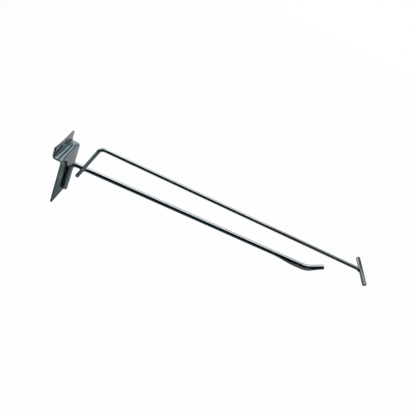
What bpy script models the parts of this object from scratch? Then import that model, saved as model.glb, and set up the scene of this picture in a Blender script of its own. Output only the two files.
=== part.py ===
"""Display hook for slotted wall panels: a folded plate, a prong for the goods and a ticket arm above it.

Metres, +Z up. The arms run along -Y, away from the wall, and +Y points into the wall.
The origin is the middle of the plate's flat rear face, where it lies on the panel.
"""

import math

import bmesh
import bpy
from mathutils import Matrix, Vector

MM = 0.001

# Folded back plate
SHEET = 2.0 * MM
PLATE_WIDTH = 46.4 * MM
FACE_DROP = 51.1 * MM  # underside of the shelf down to the lower corners of the face
SHELF_FOLD = 1.6 * MM  # inside radius of the fold between the face and the shelf
TONGUE_FOLD = 1.9 * MM  # inside radius of the fold between the shelf and the tongue
LIP_GAP = 7.4 * MM  # slot between the panel's face and the tongue, for the panel's lip
TONGUE_HEIGHT = 11.0 * MM  # upper corners of the tongue above the shelf
END_HOLLOW = 1.4 * MM  # how far the sheet's two ends are cut in between their corners
PLATE_CORNER = 0.4 * MM
SHEARED_EDGE = 0.25 * MM
HOLE_DIAMETER = 3.2 * MM
HOLE_BELOW_TOP = 5.3 * MM

# Prong
PRONG_WIRE = 5.2 * MM
PRONG_BELOW_SHELF = 10.5 * MM  # axis of the run below the shelf's underside
PRONG_REACH = 300.0 * MM  # end of the tip from the panel
PRONG_BEND = 6.5 * MM
LEG_ABOVE_EDGE = 7.1 * MM  # lower end of the leg above the plate's lower corners
TIP_LENGTH = 19.0 * MM
TIP_ANGLE = math.radians(30.0)
TIP_BEND = 22.0 * MM

# Overarm
OVERARM_WIRE = 3.9 * MM
OVERARM_RISE = 33.35 * MM  # its rear corner above the prong's axis
OVERARM_CORNER = 30.1 * MM  # its rear corner from the panel
OVERARM_LEAN = math.radians(19.5)
OVERARM_TAIL = 6.8 * MM  # what the leg reaches below the prong's underside
OVERARM_FALL = math.radians(0.92)
OVERARM_BEND = 7.0 * MM

# Ticket bar
BAR_WIRE = 4.6 * MM
BAR_LENGTH = 44.6 * MM
BAR_OFFSET = -1.4 * MM  # its middle from the overarm's axis
BAR_REACH = 333.3 * MM  # its axis from the panel

# Clearance between welded pieces, and the broken edge of a cut wire end
SEAT = 0.3 * MM
WIRE_END = 0.45 * MM

# Fineness of the rounded shapes
FOLD_STEPS = 6
CORNER_STEPS = 4
HOLLOW_STEPS = 8
HOLE_STEPS = 24
BEND_STEP = math.radians(9.0)
WIRE_ROUNDNESS = 6
WELD_DISTANCE = 0.00001

# Heights worked out from the plate
PLATE_BOTTOM = -(FACE_DROP - SHELF_FOLD) / 2
SHELF_UNDERSIDE = PLATE_BOTTOM + FACE_DROP
TONGUE_TOP = SHELF_UNDERSIDE + SHEET + TONGUE_HEIGHT
TONGUE_REAR = LIP_GAP + SHEET
PRONG_AXIS = SHELF_UNDERSIDE - PRONG_BELOW_SHELF

PRONG_FACE = SHEET + SEAT + PRONG_WIRE / 2  # axis of the leg in front of the panel
OVERARM_SIDE = -(PRONG_WIRE / 2 + SEAT + OVERARM_WIRE / 2)


def clear_scene():
    for old in list(bpy.data.objects):
        bpy.data.objects.remove(old, do_unlink=True)


def make_collection(name):
    collection = bpy.data.collections.new(name)
    bpy.context.scene.collection.children.link(collection)
    return collection


def plated_steel(name, colour, roughness):
    material = bpy.data.materials.new(name)
    material.use_nodes = True
    shader = material.node_tree.nodes["Principled BSDF"]
    shader.inputs["Base Color"].default_value = (*colour, 1.0)
    shader.inputs["Metallic"].default_value = 1.0
    shader.inputs["Roughness"].default_value = roughness
    material.diffuse_color = (*colour, 1.0)
    return material


# Back plate


def fold_stretches():
    """The rear skin of the sheet from its lower edge up, as (length, turn towards the tongue)."""
    outside = TONGUE_FOLD + SHEET
    quarter = math.pi / 2
    return (
        (SHELF_UNDERSIDE - SHELF_FOLD - PLATE_BOTTOM, 0.0),
        (SHELF_FOLD * quarter, -quarter),
        (TONGUE_REAR - SHELF_FOLD - outside, 0.0),
        (outside * quarter, quarter),
        (TONGUE_TOP - SHELF_UNDERSIDE - outside, 0.0),
    )


def blank_length():
    return sum(length for length, turn in fold_stretches())


def fold_lines():
    """Distances along the flat blank at which the sheet bends a little further."""
    lines = []
    start = 0.0
    for length, turn in fold_stretches():
        if turn:
            lines += [start + length * step / FOLD_STEPS for step in range(FOLD_STEPS + 1)]
        start += length
    return lines


def folded_place(along):
    """Where a point at this distance from the blank's lower edge comes to lie, as (y, z)."""
    y, z, heading = 0.0, PLATE_BOTTOM, math.pi / 2
    for length, turn in fold_stretches():
        part = min(along, length)
        if turn:
            angle = turn * part / length
            radius = length / turn
            y += radius * (math.sin(heading + angle) - math.sin(heading))
            z -= radius * (math.cos(heading + angle) - math.cos(heading))
            heading += angle
        else:
            y += part * math.cos(heading)
            z += part * math.sin(heading)
        along -= part
        if along <= 0.0:
            break
    return y, z


def rounded_rectangle(width, height, radius):
    """Outline of a flat blank that stands on the X axis, with quarter rounds at its corners."""
    points = []
    corners = (
        (width / 2 - radius, radius, -90),
        (width / 2 - radius, height - radius, 0),
        (radius - width / 2, height - radius, 90),
        (radius - width / 2, radius, 180),
    )
    for x, y, start in corners:
        for step in range(CORNER_STEPS + 1):
            angle = math.radians(start + 90 * step / CORNER_STEPS)
            points.append((x + radius * math.cos(angle), y + radius * math.sin(angle)))
    return points


def sheet_outline():
    """The blank's outline: its sides are straight, its two ends a little hollow."""
    points = rounded_rectangle(PLATE_WIDTH, blank_length(), PLATE_CORNER)
    upper, lower = [], []
    for step in range(1, HOLLOW_STEPS):
        across = 1 - 2 * step / HOLLOW_STEPS
        x, depth = across * (PLATE_WIDTH / 2 - PLATE_CORNER), END_HOLLOW * (1 - across ** 2)
        upper.append((x, blank_length() - depth))
        lower.append((-x, depth))
    half = len(points) // 2
    return points[:half] + upper + points[half:] + lower


def circle(x, y, radius, steps):
    turns = [2 * math.pi * step / steps for step in range(steps)]
    return [(x + radius * math.cos(turn), y + radius * math.sin(turn)) for turn in turns]


def flat_blank(outlines):
    """A flat sheet without thickness, filled between its outline and its holes, as a mesh."""
    curve = bpy.data.curves.new("flat_blank", "CURVE")
    curve.dimensions = "2D"
    curve.fill_mode = "BOTH"
    for outline in outlines:
        spline = curve.splines.new("POLY")
        spline.points.add(len(outline) - 1)
        for point, (x, y) in zip(spline.points, outline):
            point.co = (x, y, 0.0, 1.0)
        spline.use_cyclic_u = True
    drawing = bpy.data.objects.new("flat_blank", curve)
    bpy.context.scene.collection.objects.link(drawing)
    bpy.context.view_layer.update()
    evaluated = drawing.evaluated_get(bpy.context.evaluated_depsgraph_get())
    mesh = bpy.data.meshes.new_from_object(evaluated)
    bpy.data.objects.remove(drawing, do_unlink=True)
    return mesh


def fold(mesh):
    """Cuts the blank across at each fold line and lays it along the folded section."""
    work = bmesh.new()
    work.from_mesh(mesh)
    bmesh.ops.remove_doubles(work, verts=work.verts, dist=WELD_DISTANCE)
    bmesh.ops.dissolve_limit(work, angle_limit=0.01, verts=work.verts, edges=work.edges)
    for line in fold_lines():
        everything = work.verts[:] + work.edges[:] + work.faces[:]
        bmesh.ops.bisect_plane(work, geom=everything, plane_co=(0.0, line, 0.0), plane_no=(0.0, 1.0, 0.0))
    for vertex in work.verts:
        vertex.co = (vertex.co.x, *folded_place(vertex.co.y))
    for face in work.faces:
        face.smooth = True
    work.to_mesh(mesh)
    work.free()


def make_back_plate(collection, material):
    hole_height = blank_length() - HOLE_BELOW_TOP
    hole = circle(0.0, hole_height, HOLE_DIAMETER / 2, HOLE_STEPS)
    mesh = flat_blank([sheet_outline(), hole])
    fold(mesh)
    mesh.materials.append(material)
    plate = bpy.data.objects.new("back_plate", mesh)
    collection.objects.link(plate)
    thickness = plate.modifiers.new("sheet", "SOLIDIFY")
    thickness.thickness = SHEET
    thickness.offset = 1.0
    thickness.use_even_offset = True
    thickness.use_quality_normals = True
    break_edges(plate, SHEARED_EDGE)
    return plate


def break_edges(piece, width):
    bevel = piece.modifiers.new("broken_edges", "BEVEL")
    bevel.width = width
    bevel.segments = 2
    bevel.limit_method = "ANGLE"
    bevel.angle_limit = math.radians(60.0)


# Wires


def bent_route(corners, radii):
    """Centre line of a wire through its corners, each rounded to its bend radius."""
    route = [Vector(corners[0])]
    for before, corner, after, radius in zip(corners, corners[1:], corners[2:], radii):
        corner = Vector(corner)
        back = (Vector(before) - corner).normalized()
        ahead = (Vector(after) - corner).normalized()
        turn = math.pi - back.angle(ahead)
        tangent = radius * math.tan(turn / 2)
        centre = corner + (back + ahead).normalized() * radius / math.cos(turn / 2)
        start = corner + back * tangent - centre
        axis = back.cross(ahead).normalized()
        steps = max(2, math.ceil(turn / BEND_STEP))
        for step in range(steps + 1):
            route.append(centre + Matrix.Rotation(-turn * step / steps, 3, axis) @ start)
    route.append(Vector(corners[-1]))
    return route


def make_wire(name, route, diameter, collection, material):
    curve = bpy.data.curves.new(name, "CURVE")
    curve.dimensions = "3D"
    curve.bevel_depth = diameter / 2
    curve.bevel_resolution = WIRE_ROUNDNESS
    curve.use_fill_caps = True
    spline = curve.splines.new("POLY")
    spline.points.add(len(route) - 1)
    for point, place in zip(spline.points, route):
        point.co = (*place, 1.0)
    spline.use_smooth = True
    curve.materials.append(material)
    wire = bpy.data.objects.new(name, curve)
    collection.objects.link(wire)
    weld = wire.modifiers.new("caps", "WELD")
    weld.merge_threshold = WELD_DISTANCE
    break_edges(wire, WIRE_END)
    return wire


def make_prong(collection, material):
    tip_start = PRONG_REACH - TIP_LENGTH * math.cos(TIP_ANGLE)
    corners = (
        (0.0, -PRONG_FACE, PLATE_BOTTOM + LEG_ABOVE_EDGE),
        (0.0, -PRONG_FACE, PRONG_AXIS),
        (0.0, -tip_start, PRONG_AXIS),
        (0.0, -PRONG_REACH, PRONG_AXIS + TIP_LENGTH * math.sin(TIP_ANGLE)),
    )
    route = bent_route(corners, (PRONG_BEND, TIP_BEND))
    return make_wire("prong", route, PRONG_WIRE, collection, material)


def overarm_height(reach):
    """Height of the overarm's run at this distance from the panel."""
    return PRONG_AXIS + OVERARM_RISE - (reach - OVERARM_CORNER) * math.tan(OVERARM_FALL)


def make_overarm(collection, material):
    foot = PRONG_AXIS - PRONG_WIRE / 2 - OVERARM_TAIL
    lean = (PRONG_AXIS + OVERARM_RISE - foot) * math.tan(OVERARM_LEAN)
    end = BAR_REACH - BAR_WIRE / 2 - SEAT
    corners = (
        (OVERARM_SIDE, lean - OVERARM_CORNER, foot),
        (OVERARM_SIDE, -OVERARM_CORNER, overarm_height(OVERARM_CORNER)),
        (OVERARM_SIDE, -end, overarm_height(end)),
    )
    route = bent_route(corners, (OVERARM_BEND,))
    return make_wire("overarm", route, OVERARM_WIRE, collection, material)


def make_ticket_bar(collection, material):
    height = overarm_height(BAR_REACH)
    middle = OVERARM_SIDE + BAR_OFFSET
    route = (
        Vector((middle - BAR_LENGTH / 2, -BAR_REACH, height)),
        Vector((middle + BAR_LENGTH / 2, -BAR_REACH, height)),
    )
    return make_wire("ticket_bar", route, BAR_WIRE, collection, material)


def build():
    clear_scene()
    hook = make_collection("display_hook")
    make_back_plate(hook, plated_steel("plate_zinc", (0.36, 0.39, 0.40), 0.32))
    make_prong(hook, plated_steel("prong_zinc", (0.42, 0.45, 0.47), 0.20))
    make_overarm(hook, plated_steel("overarm_zinc", (0.42, 0.45, 0.47), 0.20))
    make_ticket_bar(hook, plated_steel("bar_zinc", (0.44, 0.47, 0.48), 0.25))
    bpy.context.view_layer.update()


build()
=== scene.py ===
"""Looks of the display hook: bright zinc plating on folded sheet and welded wire, in a white studio.

Metres, in the part's own frame: +Z up, the arms run along -Y, the origin is on the plate's rear face.
"""

import math

import bmesh
import bpy
from mathutils import Matrix, Vector, noise


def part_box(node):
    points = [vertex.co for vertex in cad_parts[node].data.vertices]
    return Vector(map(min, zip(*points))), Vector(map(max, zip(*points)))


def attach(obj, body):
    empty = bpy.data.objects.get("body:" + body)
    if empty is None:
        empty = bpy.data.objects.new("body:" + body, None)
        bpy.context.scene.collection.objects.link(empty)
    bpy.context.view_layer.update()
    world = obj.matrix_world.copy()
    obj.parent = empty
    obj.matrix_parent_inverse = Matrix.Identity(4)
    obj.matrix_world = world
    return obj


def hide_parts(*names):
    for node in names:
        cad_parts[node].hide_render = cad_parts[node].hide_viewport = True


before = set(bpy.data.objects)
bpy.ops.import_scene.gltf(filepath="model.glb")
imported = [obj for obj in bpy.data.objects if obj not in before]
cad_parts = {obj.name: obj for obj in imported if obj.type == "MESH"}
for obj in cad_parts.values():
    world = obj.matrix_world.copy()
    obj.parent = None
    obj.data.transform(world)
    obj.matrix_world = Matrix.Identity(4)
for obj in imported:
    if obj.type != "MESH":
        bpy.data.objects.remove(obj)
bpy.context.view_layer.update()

MM = 0.001

# Camera
CAMERA_PLACE = (-403.9 * MM, -109.4 * MM, 281.3 * MM)
CAMERA_AZIMUTH = math.radians(96.45)  # the way it looks, from +Y towards +X
CAMERA_DROP = math.radians(31.33)
CAMERA_ROLL = math.radians(27.5)
CAMERA_LENS = 38.66
CAMERA_SENSOR = 36.0
CAMERA_NEAREST = 10.0 * MM

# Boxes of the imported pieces
PLATE_LOW, PLATE_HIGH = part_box("back_plate")
PRONG_LOW, PRONG_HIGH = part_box("prong")
ARM_LOW, ARM_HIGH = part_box("overarm")
BAR_LOW, BAR_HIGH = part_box("ticket_bar")

# Folded back plate
SHEET = -PLATE_LOW.y
PLATE_WIDTH = PLATE_HIGH.x - PLATE_LOW.x
PLATE_BOTTOM = PLATE_LOW.z
TONGUE_TOP = PLATE_HIGH.z
TONGUE_REAR = PLATE_HIGH.y
SHELF_FOLD = 1.6 * MM
TONGUE_FOLD = 1.9 * MM
SHELF_UNDERSIDE = -PLATE_BOTTOM + SHELF_FOLD
PLATE_CORNER = 0.4 * MM
END_HOLLOW = 1.4 * MM  # how far the sheet's two ends are cut in between their corners
SHEARED_EDGE = 0.25 * MM
HOLE_DIAMETER = 3.2 * MM
HOLE_BELOW_TOP = 5.3 * MM

# Prong
PRONG_WIRE = PRONG_HIGH.x - PRONG_LOW.x
PRONG_FACE = -PRONG_HIGH.y + PRONG_WIRE / 2
LEG_FOOT = PRONG_LOW.z
PRONG_BELOW_SHELF = 10.5 * MM
PRONG_AXIS = SHELF_UNDERSIDE - PRONG_BELOW_SHELF
PRONG_REACH = 300.0 * MM
PRONG_BEND = 6.5 * MM
TIP_LENGTH = 19.0 * MM
TIP_ANGLE = math.radians(30.0)
TIP_BEND = 22.0 * MM

# Overarm and ticket bar
ARM_WIRE = ARM_HIGH.x - ARM_LOW.x
ARM_SIDE = (ARM_HIGH.x + ARM_LOW.x) / 2
ARM_RISE = 33.35 * MM
ARM_CORNER = 30.1 * MM
ARM_LEAN = math.radians(19.5)
ARM_TAIL = 6.8 * MM
ARM_BEND = 7.0 * MM
BAR_WIRE = BAR_HIGH.z - BAR_LOW.z
BAR_REACH = -(BAR_HIGH.y + BAR_LOW.y) / 2
BAR_HEIGHT = (BAR_HIGH.z + BAR_LOW.z) / 2
WIRE_END = 0.45 * MM

# Swelling on the underside of the prong's bend
SWELL_DEPTH = 1.95 * MM
SWELL_START, SWELL_FULL = 243.0 * MM, 269.0 * MM  # distances from the panel
SWELL_FADE, SWELL_END = 284.0 * MM, 301.0 * MM
SWELL_SIDE = Vector((-0.55, 0.0, -0.84))
SWELL_FOCUS = 1.5  # the higher, the narrower round the wire
SWELL_STEP = 2.0 * MM

# Weld beads; the first three are their radii
LEG_BEAD = 1.2 * MM
ARM_BEAD = 0.9 * MM
BAR_BEAD = 0.8 * MM
LEG_BEAD_TOP = 9.0 * MM
LEG_BEAD_OUT = 0.3 * MM  # from the wire's side to the bead's middle
LEG_BEAD_RISE = 0.75  # of its radius, from the sheet to its middle
ARM_BEAD_OUT = 0.1 * MM
ARM_BEAD_REACH = 2.0 * MM  # up and down from where the wires cross
BAR_BEAD_PATH = ((1.6, 0.6, -0.8), (-0.6, 0.5, -1.4), (-3.6, -0.1, -1.2))  # mm, from the overarm's end
BEAD_STEP = 0.5 * MM
BEAD_END = 0.35  # of the radius, what is left at the two ends
BEAD_TAPER = 0.2  # of the length, over which each end thins out
BEAD_RIPPLE = 0.03  # of the radius
BEAD_RIPPLE_TURN = 1.3  # radians from one step to the next
BEAD_LUMPS = 0.08  # of the radius

# Fineness of the rounded shapes
FOLD_STEPS = 14
CORNER_STEPS = 6
HOLE_STEPS = 40
HOLLOW_STEPS = 16
EDGE_STEPS = 3
BEND_STEP = math.radians(3.0)
WIRE_ROUNDNESS = 22
BEAD_ROUNDNESS = 5
SMOOTH_BELOW = math.radians(35.0)
BEVEL_ABOVE = math.radians(50.0)
FLAT_BELOW = 0.01  # radians
WELD_DISTANCE = 0.005 * MM

# Zinc plating; each noise has a scale and a detail
CLOUDS = (90.0, 3.0)
LINES = (1500.0, 3.0)
GRAIN = (2600.0, 2.0)
WAVES = (70.0, 1.0)
LINE_DEPTH = 0.002 * MM
GRAIN_DEPTH = 0.0015 * MM
COLOUR_RANGE = (0.35, 0.65)  # of a noise, over which a colour changes
GLOSS_RANGE = (0.3, 0.7)
SHEET_LOOK = {
    "cool": (0.46, 0.52, 0.54),
    "warm": (0.56, 0.57, 0.56),
    "roughness": (0.08, 0.14),
    "stretch": (1.0, 1.0, 0.1),
    "waviness": 0.02 * MM,
}
WIRE_LOOK = {
    "cool": (0.55, 0.59, 0.61),
    "warm": (0.61, 0.63, 0.62),
    "roughness": (0.05, 0.10),
    "stretch": (1.0, 0.05, 1.0),
    "waviness": 0.01 * MM,
}
BAR_LOOK = {
    "cool": (0.42, 0.46, 0.48),
    "warm": (0.47, 0.50, 0.50),
    "roughness": (0.08, 0.14),
    "stretch": (0.05, 1.0, 1.0),
    "waviness": 0.01 * MM,
}

# Colour patches on it, most of them painted shade and painted highlights: place in mm, size in mm, colour
PLATE_PAINTED_LIGHT_AND_MARKS = (
    ((-14.2, -2.0, 5.6), (10.0, 1.8, 3.2), (0.96, 0.99, 0.94)),  # lighter streak beside the leg
    ((4.0, -2.0, -26.0), (34.0, 1.8, 18.0), (0.30, 0.34, 0.33)),  # darker lower end
    ((10.0, -2.0, 16.0), (40.0, 1.8, 36.0), (0.50, 0.445, 0.455)),  # warm sheen right of the leg
    ((-15.2, -2.0, 16.8), (9.0, 1.8, 9.0), (0.13, 0.165, 0.185)),  # painted shade under the shelf
    ((0.0, 7.0, 30.5), (200.0, 2.5, 3.0), (0.30, 0.40, 0.42)),  # painted shade inside the tongue's fold
    ((-22.5, 7.8, 38.3), (2.6, 4.0, 2.2), (0.02, 0.02, 0.02)),  # painted shade on the tongue's left corner
    ((-23.2, -2.0, 11.0), (4.0, 1.8, 14.0), (0.86, 0.88, 0.80)),  # lighter left side
    ((0.0, 5.0, 28.4), (200.0, 2.2, 2.2), (0.28, 0.38, 0.43)),  # painted shade on the rear of the shelf
    ((0.0, -0.2, 27.5), (200.0, 2.8, 2.8), (0.72, 0.84, 0.90)),  # painted highlight on the outside of the shelf's fold
    ((0.8, 7.8, 35.0), (2.4, 3.0, 1.8), (0.02, 0.03, 0.03)),  # painted shade in the upper rim of the hole
    ((20.5, 1.6, 28.3), (8.0, 3.5, 3.5), (0.24, 0.29, 0.31)),  # darker right end of the shelf
    ((-20.0, 4.8, 28.3), (13.0, 1.3, 3.0), (0.74, 0.83, 0.87)),  # painted highlight on the left end of the shelf's rear
    ((-19.0, 2.8, 28.3), (17.0, 1.9, 3.0), (0.07, 0.10, 0.12)),  # painted shade in a band in front of that
)
# Painted reflection: a lighter patch on the prong's leg
PRONG_PAINTED_REFLECTION = (((0.0, -4.6, -2.0), (12.0, 12.0, 30.0), (0.95, 0.98, 1.0)),)
# Painted reflection: a lighter patch on the overarm's leg
ARM_PAINTED_REFLECTION = (((-4.5, -24.0, 33.0), (12.0, 18.0, 26.0), (0.80, 0.88, 0.92)),)

# Dulled spots: place in mm, size in mm, roughness
PRONG_DULLED = (((0.0, -4.6, -2.0), (12.0, 12.0, 32.0), 0.32),)
ARM_DULLED = (((-4.5, -24.0, 33.0), (12.0, 18.0, 26.0), 0.28),)

# Patches that also set roughness and how metallic: place in mm, size in mm, colour, how metallic
# Painted highlight on the lower edge of the hole
HOLE_PAINTED_HIGHLIGHT = (((-1.3, 7.8, 33.3), (1.8, 3.0, 1.5), (0.90, 0.95, 0.93), 0.0),)
# Painted highlight on the rim of the bar's end
BAR_END_PAINTED_HIGHLIGHT = (((-28.0, -332.9, 45.3), (1.3, 1.3, 1.2), (0.62, 0.68, 0.68), 0.0),)
# Darker, rougher, less metallic patches on the swelling
SWELL_DARK_PATCHES = (
    ((-3.6, -277.0, 12.1), (5.0, 34.0, 4.2), (0.24, 0.28, 0.27), 0.8),
    ((-3.6, -290.0, 15.4), (4.5, 11.0, 3.4), (0.24, 0.28, 0.27), 0.8),
)
OVERLAY_ROUGHNESS = 0.6
OVERLAY_RANGE = (0.0, 0.4)  # of a patch, over which an overlay gets full

# The shelf rises softly into the tongue's fold: from, to, depth
SHELF_HOLLOW = (4.1 * MM, 6.4 * MM, 0.28 * MM)

# Plated weld metal, near black to paint the shade in the joints beside the wires
WELD_DARK = (0.02, 0.03, 0.035)
WELD_LIGHT = (0.07, 0.085, 0.09)
WELD_ROUGHNESS = (0.42, 0.6)
WELD_METAL = 0.9
WELD_RIPPLES = (500.0, 1.0)
WELD_RIPPLE_DEPTH = 0.03 * MM

# Studio
WHITE = (1.0, 1.0, 1.0)
FLOOR_PLACE = (0.0, -0.15, -0.46)
FLOOR_SIZE = 12.0
FLOOR_COLOUR = (0.8, 0.8, 0.8)
FLOOR_ROUGHNESS = 0.9
FLOOR_CLEARNESS = 0.90  # share of the floor's white that the shadow leaves
REFLECTOR_PLACE = (0.0, -0.155, 0.02)
REFLECTOR_RADIUS = 0.7
REFLECTOR_DEPTH = 0.42
REFLECTOR_LENGTH = 2.4
REFLECTOR_STEPS = 48
CARD_TINT = (-0.035, 0.0, 0.008)  # all cards are a little bluish
CARD_LEAST = 0.4  # of a card's brightness, what its tint leaves of a colour
WINDOW_PLACE = (0.56, 0.0, 0.44)
WINDOW_SIZE = (0.22, 0.24)
WINDOW_GLOW = 1.0
SOFTBOX_PLACE = (0.10, -0.16, 1.1)
SOFTBOX_SIZE = (1.0, 1.2)
SOFTBOX_GLOW = 0.9
CARDS = (  # name, place, width, height, brightness
    ("grey_card", (-0.50, 0.25, -0.36), 0.34, 0.30, 0.22),
    ("end_card", (0.0, 1.0, 0.0), 1.3, 0.8, 0.09),
    ("side_card", (0.62, 0.01, 0.03), 0.26, 0.50, 0.8),
    ("far_side_card", (0.62, -0.75, 0.03), 0.36, 0.50, 0.14),
    ("fold_card", (0.62, -0.37, 0.26), 0.14, 0.11, 0.35),
    ("bar_card", (-0.55, -0.662, -0.29), 0.11, 0.16, 0.26),
    ("top_card", (0.15, -0.78, 0.62), 0.80, 0.56, 0.56),
)
REFLECTOR_STOPS = (  # degrees from straight below, towards +X; brightness
    (-179.0, 0.50),
    (-169.0, 0.25),
    (-157.0, 0.08),
    (-142.0, 0.02),
    (-120.0, 0.006),
    (-90.0, 0.004),
    (-72.0, 0.006),
    (-52.0, 0.09),
    (-35.0, 0.13),
    (20.0, 0.13),
    (50.0, 0.16),
    (60.0, 0.36),
    (75.0, 0.34),
    (92.0, 0.28),
    (106.0, 0.24),
    (114.0, 0.12),
    (125.0, 0.12),
    (150.0, 0.80),
)


def metres(millimetres):
    return tuple(value * MM for value in millimetres)


# Shader nodes


def new_material(name):
    material = bpy.data.materials.new(name)
    material.use_nodes = True
    return material, material.node_tree


def connect(tree, socket, value):
    """Give a socket a value, or link it to another node's output."""
    if isinstance(value, bpy.types.NodeSocket):
        tree.links.new(value, socket)
    else:
        socket.default_value = value


def add_node(tree, kind, inputs=None, **settings):
    """A new node; its inputs go by name or number."""
    node = tree.nodes.new(kind)
    for setting, value in settings.items():
        setattr(node, setting, value)
    for key, value in (inputs or {}).items():
        connect(tree, node.inputs[key], value)
    return node


def opaque(colour):
    """A colour with its alpha; a node's output stays as it is."""
    return (*colour, 1.0) if isinstance(colour, tuple) else colour


def calculated(tree, operation, first, second):
    return add_node(tree, "ShaderNodeMath", {0: first, 1: second}, operation=operation).outputs["Value"]


def map_range(tree, value, source, target=(0.0, 1.0), **settings):
    ends = {"From Min": source[0], "From Max": source[1], "To Min": target[0], "To Max": target[1]}
    return add_node(tree, "ShaderNodeMapRange", {"Value": value, **ends}, **settings).outputs["Result"]


def noise_texture(tree, scale, detail, stretch=(1.0, 1.0, 1.0)):
    """Noise in the part's own metres, stretched along an axis where its scale there is small."""
    place = add_node(tree, "ShaderNodeTexCoord").outputs["Object"]
    spread = add_node(tree, "ShaderNodeMapping", {"Vector": place, "Scale": stretch}).outputs["Vector"]
    inputs = {"Vector": spread, "Scale": scale, "Detail": detail}
    return add_node(tree, "ShaderNodeTexNoise", inputs).outputs["Fac"]


def patch(tree, place, size):
    """1 at a place, and less all round it, down to 0 on an ellipsoid of this size; both in mm."""
    where = add_node(tree, "ShaderNodeTexCoord").outputs["Object"]
    inputs = {"Vector": where, "Location": metres(place), "Scale": metres(size)}
    shift = add_node(tree, "ShaderNodeMapping", inputs, vector_type="TEXTURE").outputs["Vector"]
    ball = add_node(tree, "ShaderNodeTexGradient", {"Vector": shift}, gradient_type="SPHERICAL")
    return ball.outputs["Fac"]


def mixed(tree, share, below, above):
    """Below where the share is 0, above where it is 1."""
    inputs = {"Factor": share, "A": opaque(below), "B": opaque(above)}
    return add_node(tree, "ShaderNodeMix", inputs, data_type="RGBA").outputs["Result"]


def colour_ramp(tree, source, stops):
    """A ramp through stops of (position, colour)."""
    ramp = add_node(tree, "ShaderNodeValToRGB", {"Fac": source})
    elements = ramp.color_ramp.elements
    for number, (position, colour) in enumerate(stops):
        stop = elements[number] if number < 2 else elements.new(1.0)
        stop.position = position
        stop.color = opaque(colour)
    return ramp.outputs["Color"]


def bumps(tree, layers):
    """Bump nodes in a row, one for each (height, depth)."""
    inputs = {}
    for height, depth in layers:
        bump = add_node(tree, "ShaderNodeBump", {"Height": height, "Distance": depth, **inputs})
        inputs = {"Normal": bump.outputs["Normal"]}
    return inputs["Normal"]


def glow_only(tree, colour):
    tree.nodes.remove(tree.nodes["Principled BSDF"])
    glow = add_node(tree, "ShaderNodeEmission", {"Color": opaque(colour)})
    connect(tree, tree.nodes["Material Output"].inputs["Surface"], glow.outputs["Emission"])


# Materials of the hook


def zinc(name, cool, warm, roughness, stretch, waviness, painted_light_and_marks=(), dulled=(), highlights_and_dark_patches=(), hollow=None):
    """Blue-passivated zinc: cool and warmer clouds, faint waves, drawing lines and a fine plated grain."""
    material, tree = new_material(name)
    lines = noise_texture(tree, *LINES, stretch)
    colour = colour_ramp(tree, noise_texture(tree, *CLOUDS), zip(COLOUR_RANGE, (cool, warm)))
    gloss = map_range(tree, lines, GLOSS_RANGE, roughness)
    metal = WHITE
    # Colour patches, most of them painted shade and painted highlights
    for place, size, tone in painted_light_and_marks:
        colour = mixed(tree, patch(tree, place, size), colour, tone)
    for place, size, dullness in dulled:
        gloss = mixed(tree, patch(tree, place, size), gloss, (dullness,) * 3)
    # Painted highlights and darker patches, which also set roughness and how metallic
    for place, size, tone, bareness in highlights_and_dark_patches:
        overlay_share = map_range(tree, patch(tree, place, size), OVERLAY_RANGE)
        colour = mixed(tree, overlay_share, colour, tone)
        gloss = mixed(tree, overlay_share, gloss, (OVERLAY_ROUGHNESS,) * 3)
        metal = mixed(tree, overlay_share, metal, (bareness,) * 3)
    layers = [
        (noise_texture(tree, *WAVES), waviness),
        (lines, LINE_DEPTH),
        (noise_texture(tree, *GRAIN), GRAIN_DEPTH),
    ]
    if hollow:
        near, far, depth = hollow
        place = add_node(tree, "ShaderNodeTexCoord").outputs["Object"]
        along = add_node(tree, "ShaderNodeSeparateXYZ", {"Vector": place}).outputs["Y"]
        layers.append((map_range(tree, along, (near, far), interpolation_type="SMOOTHSTEP"), depth))
    shader = tree.nodes["Principled BSDF"]
    connect(tree, shader.inputs["Base Color"], colour)
    connect(tree, shader.inputs["Roughness"], gloss)
    connect(tree, shader.inputs["Metallic"], metal if highlights_and_dark_patches else 1.0)
    connect(tree, shader.inputs["Normal"], bumps(tree, layers))
    return material


def weld_with_painted_shade():
    """Plated weld metal: dark, rippled and rougher than the wire; its near-black colour is painted shade in
    the joints.
    """
    material, tree = new_material("weld_with_painted_shade")
    ripples = noise_texture(tree, *WELD_RIPPLES)
    colour = colour_ramp(tree, ripples, zip(COLOUR_RANGE, (WELD_DARK, WELD_LIGHT)))
    shader = tree.nodes["Principled BSDF"]
    connect(tree, shader.inputs["Base Color"], colour)
    connect(tree, shader.inputs["Roughness"], map_range(tree, ripples, GLOSS_RANGE, WELD_ROUGHNESS))
    connect(tree, shader.inputs["Metallic"], WELD_METAL)
    connect(tree, shader.inputs["Normal"], bumps(tree, [(ripples, WELD_RIPPLE_DEPTH)]))
    return material


# Pieces


def evaluated_mesh(drawing):
    """The mesh of an object with its modifiers; the object itself goes."""
    bpy.context.scene.collection.objects.link(drawing)
    bpy.context.view_layer.update()
    evaluated = drawing.evaluated_get(bpy.context.evaluated_depsgraph_get())
    mesh = bpy.data.meshes.new_from_object(evaluated)
    bpy.data.objects.remove(drawing, do_unlink=True)
    return mesh


def smooth_with_crisp_edges(mesh):
    mesh.shade_smooth()
    mesh.set_sharp_from_angle(angle=SMOOTH_BELOW)


def break_edges(piece, width):
    bevel = piece.modifiers.new("broken_edges", "BEVEL")
    bevel.width = width
    bevel.segments = EDGE_STEPS
    bevel.limit_method = "ANGLE"
    bevel.angle_limit = BEVEL_ABOVE


def dress(name, mesh, material, node):
    """A finished piece that rides with the hook, and stands for a CAD node unless that is None."""
    piece = bpy.data.objects.new(name, mesh)
    bpy.context.scene.collection.objects.link(piece)
    mesh.materials.clear()
    mesh.materials.append(material)
    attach(piece, "root")
    if node:
        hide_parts(node)


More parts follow.
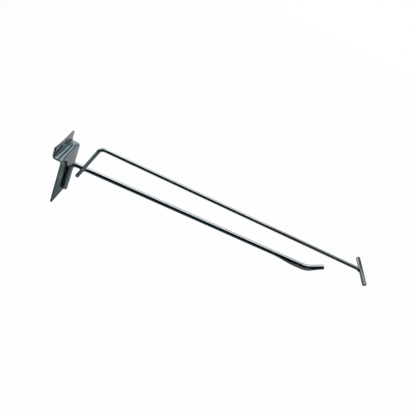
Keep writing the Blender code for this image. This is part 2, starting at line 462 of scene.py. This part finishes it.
# Sheet


def fold_stretches():
    """The rear skin of the sheet from its lower edge up, as (length, turn towards the tongue)."""
    outside = TONGUE_FOLD + SHEET
    quarter = math.pi / 2
    return (
        (SHELF_UNDERSIDE - SHELF_FOLD - PLATE_BOTTOM, 0.0),
        (SHELF_FOLD * quarter, -quarter),
        (TONGUE_REAR - SHELF_FOLD - outside, 0.0),
        (outside * quarter, quarter),
        (TONGUE_TOP - SHELF_UNDERSIDE - outside, 0.0),
    )


def blank_length():
    return sum(length for length, turn in fold_stretches())


def fold_lines():
    """Where the blank is divided so that its two folds come out round."""
    lines = []
    start = 0.0
    for length, turn in fold_stretches():
        if turn:
            lines += [start + length * step / FOLD_STEPS for step in range(FOLD_STEPS + 1)]
        start += length
    return lines


def folded_place(along):
    """Where a point at this distance from the blank's lower edge comes to lie, as (y, z)."""
    y, z, heading = 0.0, PLATE_BOTTOM, math.pi / 2
    for length, turn in fold_stretches():
        part = min(along, length)
        if turn:
            angle = turn * part / length
            radius = length / turn
            y += radius * (math.sin(heading + angle) - math.sin(heading))
            z -= radius * (math.cos(heading + angle) - math.cos(heading))
            heading += angle
        else:
            y += part * math.cos(heading)
            z += part * math.sin(heading)
        along -= part
        if along <= 0.0:
            break
    return y, z


def rounded_rectangle(width, height, radius):
    points = []
    corners = (
        (width / 2 - radius, radius, -90),
        (width / 2 - radius, height - radius, 0),
        (radius - width / 2, height - radius, 90),
        (radius - width / 2, radius, 180),
    )
    for x, y, start in corners:
        for step in range(CORNER_STEPS + 1):
            angle = math.radians(start + 90 * step / CORNER_STEPS)
            points.append((x + radius * math.cos(angle), y + radius * math.sin(angle)))
    return points


def sheet_outline():
    """The blank's outline: its sides are straight, its two ends a little hollow."""
    points = rounded_rectangle(PLATE_WIDTH, blank_length(), PLATE_CORNER)
    upper, lower = [], []
    for step in range(1, HOLLOW_STEPS):
        across = 1 - 2 * step / HOLLOW_STEPS
        x, depth = across * (PLATE_WIDTH / 2 - PLATE_CORNER), END_HOLLOW * (1 - across ** 2)
        upper.append((x, blank_length() - depth))
        lower.append((-x, depth))
    half = len(points) // 2
    return points[:half] + upper + points[half:] + lower


def circle(x, y, radius, steps):
    turns = [2 * math.pi * step / steps for step in range(steps)]
    return [(x + radius * math.cos(turn), y + radius * math.sin(turn)) for turn in turns]


def flat_blank(outlines):
    curve = bpy.data.curves.new("flat_blank", "CURVE")
    curve.dimensions = "2D"
    curve.fill_mode = "BOTH"
    for outline in outlines:
        spline = curve.splines.new("POLY")
        spline.points.add(len(outline) - 1)
        for point, (x, y) in zip(spline.points, outline):
            point.co = (x, y, 0.0, 1.0)
        spline.use_cyclic_u = True
    return evaluated_mesh(bpy.data.objects.new("flat_blank", curve))


def fold(mesh):
    work = bmesh.new()
    work.from_mesh(mesh)
    bmesh.ops.remove_doubles(work, verts=work.verts, dist=WELD_DISTANCE)
    bmesh.ops.dissolve_limit(work, angle_limit=FLAT_BELOW, verts=work.verts, edges=work.edges)
    for line in fold_lines():
        everything = work.verts[:] + work.edges[:] + work.faces[:]
        bmesh.ops.bisect_plane(work, geom=everything, plane_co=(0.0, line, 0.0), plane_no=(0.0, 1.0, 0.0))
    for vertex in work.verts:
        vertex.co = (vertex.co.x, *folded_place(vertex.co.y))
    work.to_mesh(mesh)
    work.free()


def make_plate(material):
    hole = circle(0.0, blank_length() - HOLE_BELOW_TOP, HOLE_DIAMETER / 2, HOLE_STEPS)
    mesh = flat_blank([sheet_outline(), hole])
    fold(mesh)
    drawing = bpy.data.objects.new("plate_drawing", mesh)
    thickness = drawing.modifiers.new("sheet", "SOLIDIFY")
    thickness.thickness = SHEET
    thickness.offset = 1.0
    thickness.use_even_offset = True
    thickness.use_quality_normals = True
    break_edges(drawing, SHEARED_EDGE)
    finished = evaluated_mesh(drawing)
    smooth_with_crisp_edges(finished)
    dress("folded_plate", finished, material, "back_plate")


# Wires


def bent_route(corners, radii):
    """Centre line of a wire through its corners, each rounded to its bend radius."""
    route = [Vector(corners[0])]
    for before, corner, after, radius in zip(corners, corners[1:], corners[2:], radii):
        corner = Vector(corner)
        back = (Vector(before) - corner).normalized()
        ahead = (Vector(after) - corner).normalized()
        turn = math.pi - back.angle(ahead)
        centre = corner + (back + ahead).normalized() * radius / math.cos(turn / 2)
        start = corner + back * radius * math.tan(turn / 2) - centre
        axis = back.cross(ahead).normalized()
        steps = max(2, math.ceil(turn / BEND_STEP))
        for step in range(steps + 1):
            route.append(centre + Matrix.Rotation(-turn * step / steps, 3, axis) @ start)
    route.append(Vector(corners[-1]))
    return route


def divided(route, step, near=-math.inf, far=math.inf):
    """The route with more points on its straight stretches between two distances from the panel."""
    points = [route[0]]
    for start, end in zip(route, route[1:]):
        if max(-start.y, -end.y) > near and min(-start.y, -end.y) < far:
            count = max(1, round((end - start).length / step))
            points += [start.lerp(end, part / count) for part in range(1, count)]
        points.append(end)
    return points


def wire_drawing(name, points, thicknesses, radius, roundness):
    """A round wire with closed ends; each of its points has a thickness, as a share of the radius."""
    curve = bpy.data.curves.new(name, "CURVE")
    curve.dimensions = "3D"
    curve.bevel_depth = radius
    curve.bevel_resolution = roundness
    curve.use_fill_caps = True
    spline = curve.splines.new("POLY")
    spline.points.add(len(points) - 1)
    for point, place, thickness in zip(spline.points, points, thicknesses):
        point.co = (*place, 1.0)
        point.radius = thickness
    drawing = bpy.data.objects.new(name, curve)
    drawing.modifiers.new("caps", "WELD").merge_threshold = WELD_DISTANCE
    return drawing


def wire_mesh(name, route, diameter):
    drawing = wire_drawing(name, route, [1.0] * len(route), diameter / 2, WIRE_ROUNDNESS)
    break_edges(drawing, WIRE_END)
    mesh = evaluated_mesh(drawing)
    smooth_with_crisp_edges(mesh)
    return mesh


def eased(value):
    value = min(max(value, 0.0), 1.0)
    return value * value * (3.0 - 2.0 * value)


def swell(mesh):
    side = SWELL_SIDE.normalized()
    moves = []
    for vertex in mesh.vertices:
        reach = -vertex.co.y
        share = eased((reach - SWELL_START) / (SWELL_FULL - SWELL_START))
        share *= eased((SWELL_END - reach) / (SWELL_END - SWELL_FADE))
        moves.append(side * SWELL_DEPTH * share * max(0.0, vertex.normal.dot(side)) ** SWELL_FOCUS)
    for vertex, move in zip(mesh.vertices, moves):
        vertex.co += move


def make_prong(material):
    tip_start = PRONG_REACH - TIP_LENGTH * math.cos(TIP_ANGLE)
    corners = (
        (0.0, -PRONG_FACE, LEG_FOOT),
        (0.0, -PRONG_FACE, PRONG_AXIS),
        (0.0, -tip_start, PRONG_AXIS),
        (0.0, -PRONG_REACH, PRONG_AXIS + TIP_LENGTH * math.sin(TIP_ANGLE)),
    )
    route = divided(bent_route(corners, (PRONG_BEND, TIP_BEND)), SWELL_STEP, SWELL_START, SWELL_END)
    mesh = wire_mesh("prong_wire", route, PRONG_WIRE)
    swell(mesh)
    dress("prong_wire", mesh, material, "prong")


def make_overarm(material):
    foot = PRONG_AXIS - PRONG_WIRE / 2 - ARM_TAIL
    lean = (PRONG_AXIS + ARM_RISE - foot) * math.tan(ARM_LEAN)
    corners = (
        (ARM_SIDE, lean - ARM_CORNER, foot),
        (ARM_SIDE, -ARM_CORNER, PRONG_AXIS + ARM_RISE),
        (ARM_SIDE, -BAR_REACH, BAR_HEIGHT),
    )
    mesh = wire_mesh("overarm_wire", bent_route(corners, (ARM_BEND,)), ARM_WIRE)
    dress("overarm_wire", mesh, material, "overarm")


def make_bar(material):
    route = [Vector((x, -BAR_REACH, BAR_HEIGHT)) for x in (BAR_LOW.x, BAR_HIGH.x)]
    mesh = wire_mesh("ticket_bar_wire", route, BAR_WIRE)
    dress("ticket_bar_wire", mesh, material, "ticket_bar")


# Welds


def bead_thickness(along, number):
    """As a share of the bead's radius: thin at both ends, with a ripple from step to step."""
    body = min(1.0, along / BEAD_TAPER, (1.0 - along) / BEAD_TAPER)
    ripple = 1.0 - BEAD_RIPPLE + BEAD_RIPPLE * math.sin(number * BEAD_RIPPLE_TURN)
    return (BEAD_END + (1.0 - BEAD_END) * body) * ripple


def make_bead(name, path, radius, material):
    points = divided(path, BEAD_STEP)
    thicknesses = [bead_thickness(number / (len(points) - 1), number) for number in range(len(points))]
    mesh = evaluated_mesh(wire_drawing(name, points, thicknesses, radius, BEAD_ROUNDNESS))
    for vertex in mesh.vertices:
        vertex.co += vertex.normal * radius * BEAD_LUMPS * noise.noise(vertex.co / radius)
    mesh.shade_smooth()
    dress(name, mesh, material, None)


def make_welds(material):
    """Beads on both sides of the leg, on both sides of the overarm at the prong, and behind the bar."""
    side, depth = PRONG_WIRE / 2 + LEG_BEAD_OUT, SHEET + LEG_BEAD_RISE * LEG_BEAD
    for name, x in (("leg_weld_left", -side), ("leg_weld_right", side)):
        path = [Vector((x, -depth, height)) for height in (LEG_FOOT + LEG_BEAD, LEG_BEAD_TOP)]
        make_bead(name, path, LEG_BEAD, material)
    between_wires = -PRONG_WIRE / 2 - ARM_BEAD_OUT
    crossing = ARM_CORNER - ARM_RISE * math.tan(ARM_LEAN)
    for name, shift in (("arm_weld_front", -ARM_WIRE / 2), ("arm_weld_rear", ARM_WIRE / 2)):
        ends = (PRONG_AXIS - ARM_BEAD_REACH, PRONG_AXIS + ARM_BEAD_REACH)
        path = [Vector((between_wires, shift - crossing, height)) for height in ends]
        make_bead(name, path, ARM_BEAD, material)
    end = Vector((ARM_SIDE, BAR_WIRE / 2 - BAR_REACH, BAR_HEIGHT))
    path = [end + Vector(metres(step)) for step in BAR_BEAD_PATH]
    make_bead("bar_weld", path, BAR_BEAD, material)


# Studio


def white_floor():
    """A pale floor: mostly white by itself, the rest lit by the lamps, so that a soft shadow shows on it."""
    material, tree = new_material("floor")
    shader = tree.nodes["Principled BSDF"]
    connect(tree, shader.inputs["Base Color"], opaque(FLOOR_COLOUR))
    connect(tree, shader.inputs["Roughness"], FLOOR_ROUGHNESS)
    glow = add_node(tree, "ShaderNodeEmission", {"Color": opaque(WHITE)})
    rays = add_node(tree, "ShaderNodeLightPath").outputs
    seen = calculated(tree, "MAXIMUM", rays["Is Camera Ray"], rays["Is Glossy Ray"])
    seen = calculated(tree, "MAXIMUM", seen, rays["Is Transmission Ray"])
    share = calculated(tree, "MULTIPLY", seen, FLOOR_CLEARNESS)
    inputs = {"Fac": share, 1: shader.outputs["BSDF"], 2: glow.outputs["Emission"]}
    mix = add_node(tree, "ShaderNodeMixShader", inputs)
    connect(tree, tree.nodes["Material Output"].inputs["Surface"], mix.outputs["Shader"])
    return material


def make_floor():
    bpy.ops.mesh.primitive_plane_add(size=FLOOR_SIZE, location=FLOOR_PLACE)
    floor = bpy.context.object
    floor.name = "floor"
    floor.data.materials.append(white_floor())


def card_colour(brightness):
    return tuple(max(CARD_LEAST * brightness, brightness + tint) for tint in CARD_TINT)


def facing_hook(place):
    return (Vector(REFLECTOR_PLACE) - Vector(place)).to_track_quat("-Z", "Y").to_euler()


def add_card(name, mesh, material, place):
    """A card that only the metal sees."""
    mesh.materials.append(material)
    card = bpy.data.objects.new(name, mesh)
    bpy.context.scene.collection.objects.link(card)
    card.location = place
    card.visible_camera = False
    card.visible_diffuse = False
    card.visible_shadow = False
    return card


def make_cards():
    """Plain glowing cards that face the hook."""
    for name, place, width, height, brightness in CARDS:
        material, tree = new_material(name)
        glow_only(tree, card_colour(brightness))
        mesh = bpy.data.meshes.new(name)
        x, y = width / 2, height / 2
        mesh.from_pydata([(-x, -y, 0.0), (x, -y, 0.0), (x, y, 0.0), (-x, y, 0.0)], [], [(0, 1, 2, 3)])
        add_card(name, mesh, material, place).rotation_euler = facing_hook(place)


def reflector_glow():
    """What the metal sees round it, by the angle from straight below: dark in front, grey below."""
    material, tree = new_material("reflector")
    place = add_node(tree, "ShaderNodeTexCoord").outputs["Object"]
    parts = add_node(tree, "ShaderNodeSeparateXYZ", {"Vector": place}).outputs
    below = calculated(tree, "MULTIPLY", parts["Z"], -1.0)
    share = map_range(tree, calculated(tree, "ARCTAN2", parts["X"], below), (-math.pi, math.pi))
    stops = [((degrees + 180.0) / 360.0, card_colour(brightness)) for degrees, brightness in REFLECTOR_STOPS]
    glow_only(tree, colour_ramp(tree, share, stops))
    return material


def make_reflector():
    """A trough of cards along the hook, open on top."""
    low, high = math.radians(REFLECTOR_STOPS[0][0]), math.radians(REFLECTOR_STOPS[-1][0])
    mesh = bpy.data.meshes.new("reflector")
    work = bmesh.new()
    rows = []
    for step in range(REFLECTOR_STEPS + 1):
        angle = low + (high - low) * step / REFLECTOR_STEPS
        x, z = REFLECTOR_RADIUS * math.sin(angle), -REFLECTOR_RADIUS * math.cos(angle)
        z = max(z, -REFLECTOR_DEPTH)
        rows.append([work.verts.new((x, side * REFLECTOR_LENGTH / 2, z)) for side in (-1, 1)])
    for near, far in zip(rows, rows[1:]):
        work.faces.new((near[0], near[1], far[1], far[0]))
    work.to_mesh(mesh)
    work.free()
    add_card("reflector", mesh, reflector_glow(), REFLECTOR_PLACE)


def make_lamp(name, place, size, glow):
    """A soft rectangular lamp, aimed at the hook, that looks as bright as its glow."""
    light = bpy.data.lights.new(name, "AREA")
    light.shape = "RECTANGLE"
    light.size, light.size_y = size
    light.energy = math.pi * size[0] * size[1] * glow
    lamp = bpy.data.objects.new(name, light)
    bpy.context.scene.collection.objects.link(lamp)
    lamp.location = place
    lamp.rotation_euler = facing_hook(place)
    lamp.visible_camera = False


def make_world():
    world = bpy.data.worlds.new("studio")
    world.use_nodes = True
    background = world.node_tree.nodes["Background"]
    background.inputs["Color"].default_value = opaque(WHITE)
    background.inputs["Strength"].default_value = 1.0
    bpy.context.scene.world = world


def make_camera():
    camera = bpy.data.objects.new("camera", bpy.data.cameras.new("camera"))
    bpy.context.scene.collection.objects.link(camera)
    camera.data.lens = CAMERA_LENS
    camera.data.sensor_width = CAMERA_SENSOR
    camera.data.clip_start = CAMERA_NEAREST
    turn = Matrix.Rotation(-CAMERA_AZIMUTH, 4, "Z")
    tilt = Matrix.Rotation(math.pi / 2 - CAMERA_DROP, 4, "X")
    roll = Matrix.Rotation(CAMERA_ROLL, 4, "Z")
    camera.matrix_world = Matrix.Translation(CAMERA_PLACE) @ turn @ tilt @ roll
    bpy.context.scene.camera = camera


# The hook and its studio

make_plate(zinc("plate_zinc_with_painted_light", **SHEET_LOOK, painted_light_and_marks=PLATE_PAINTED_LIGHT_AND_MARKS, highlights_and_dark_patches=HOLE_PAINTED_HIGHLIGHT, hollow=SHELF_HOLLOW))
make_prong(zinc("prong_zinc_with_painted_light", **WIRE_LOOK, painted_light_and_marks=PRONG_PAINTED_REFLECTION, dulled=PRONG_DULLED, highlights_and_dark_patches=SWELL_DARK_PATCHES))
make_overarm(zinc("overarm_zinc_with_painted_light", **WIRE_LOOK, painted_light_and_marks=ARM_PAINTED_REFLECTION, dulled=ARM_DULLED))
make_bar(zinc("bar_zinc_with_painted_highlight", **BAR_LOOK, highlights_and_dark_patches=BAR_END_PAINTED_HIGHLIGHT))
make_welds(weld_with_painted_shade())
make_floor()
make_reflector()
make_cards()
make_lamp("window", WINDOW_PLACE, WINDOW_SIZE, WINDOW_GLOW)
make_lamp("softbox", SOFTBOX_PLACE, SOFTBOX_SIZE, SOFTBOX_GLOW)
make_world()
make_camera()
bpy.context.scene.view_settings.view_transform = "Standard"
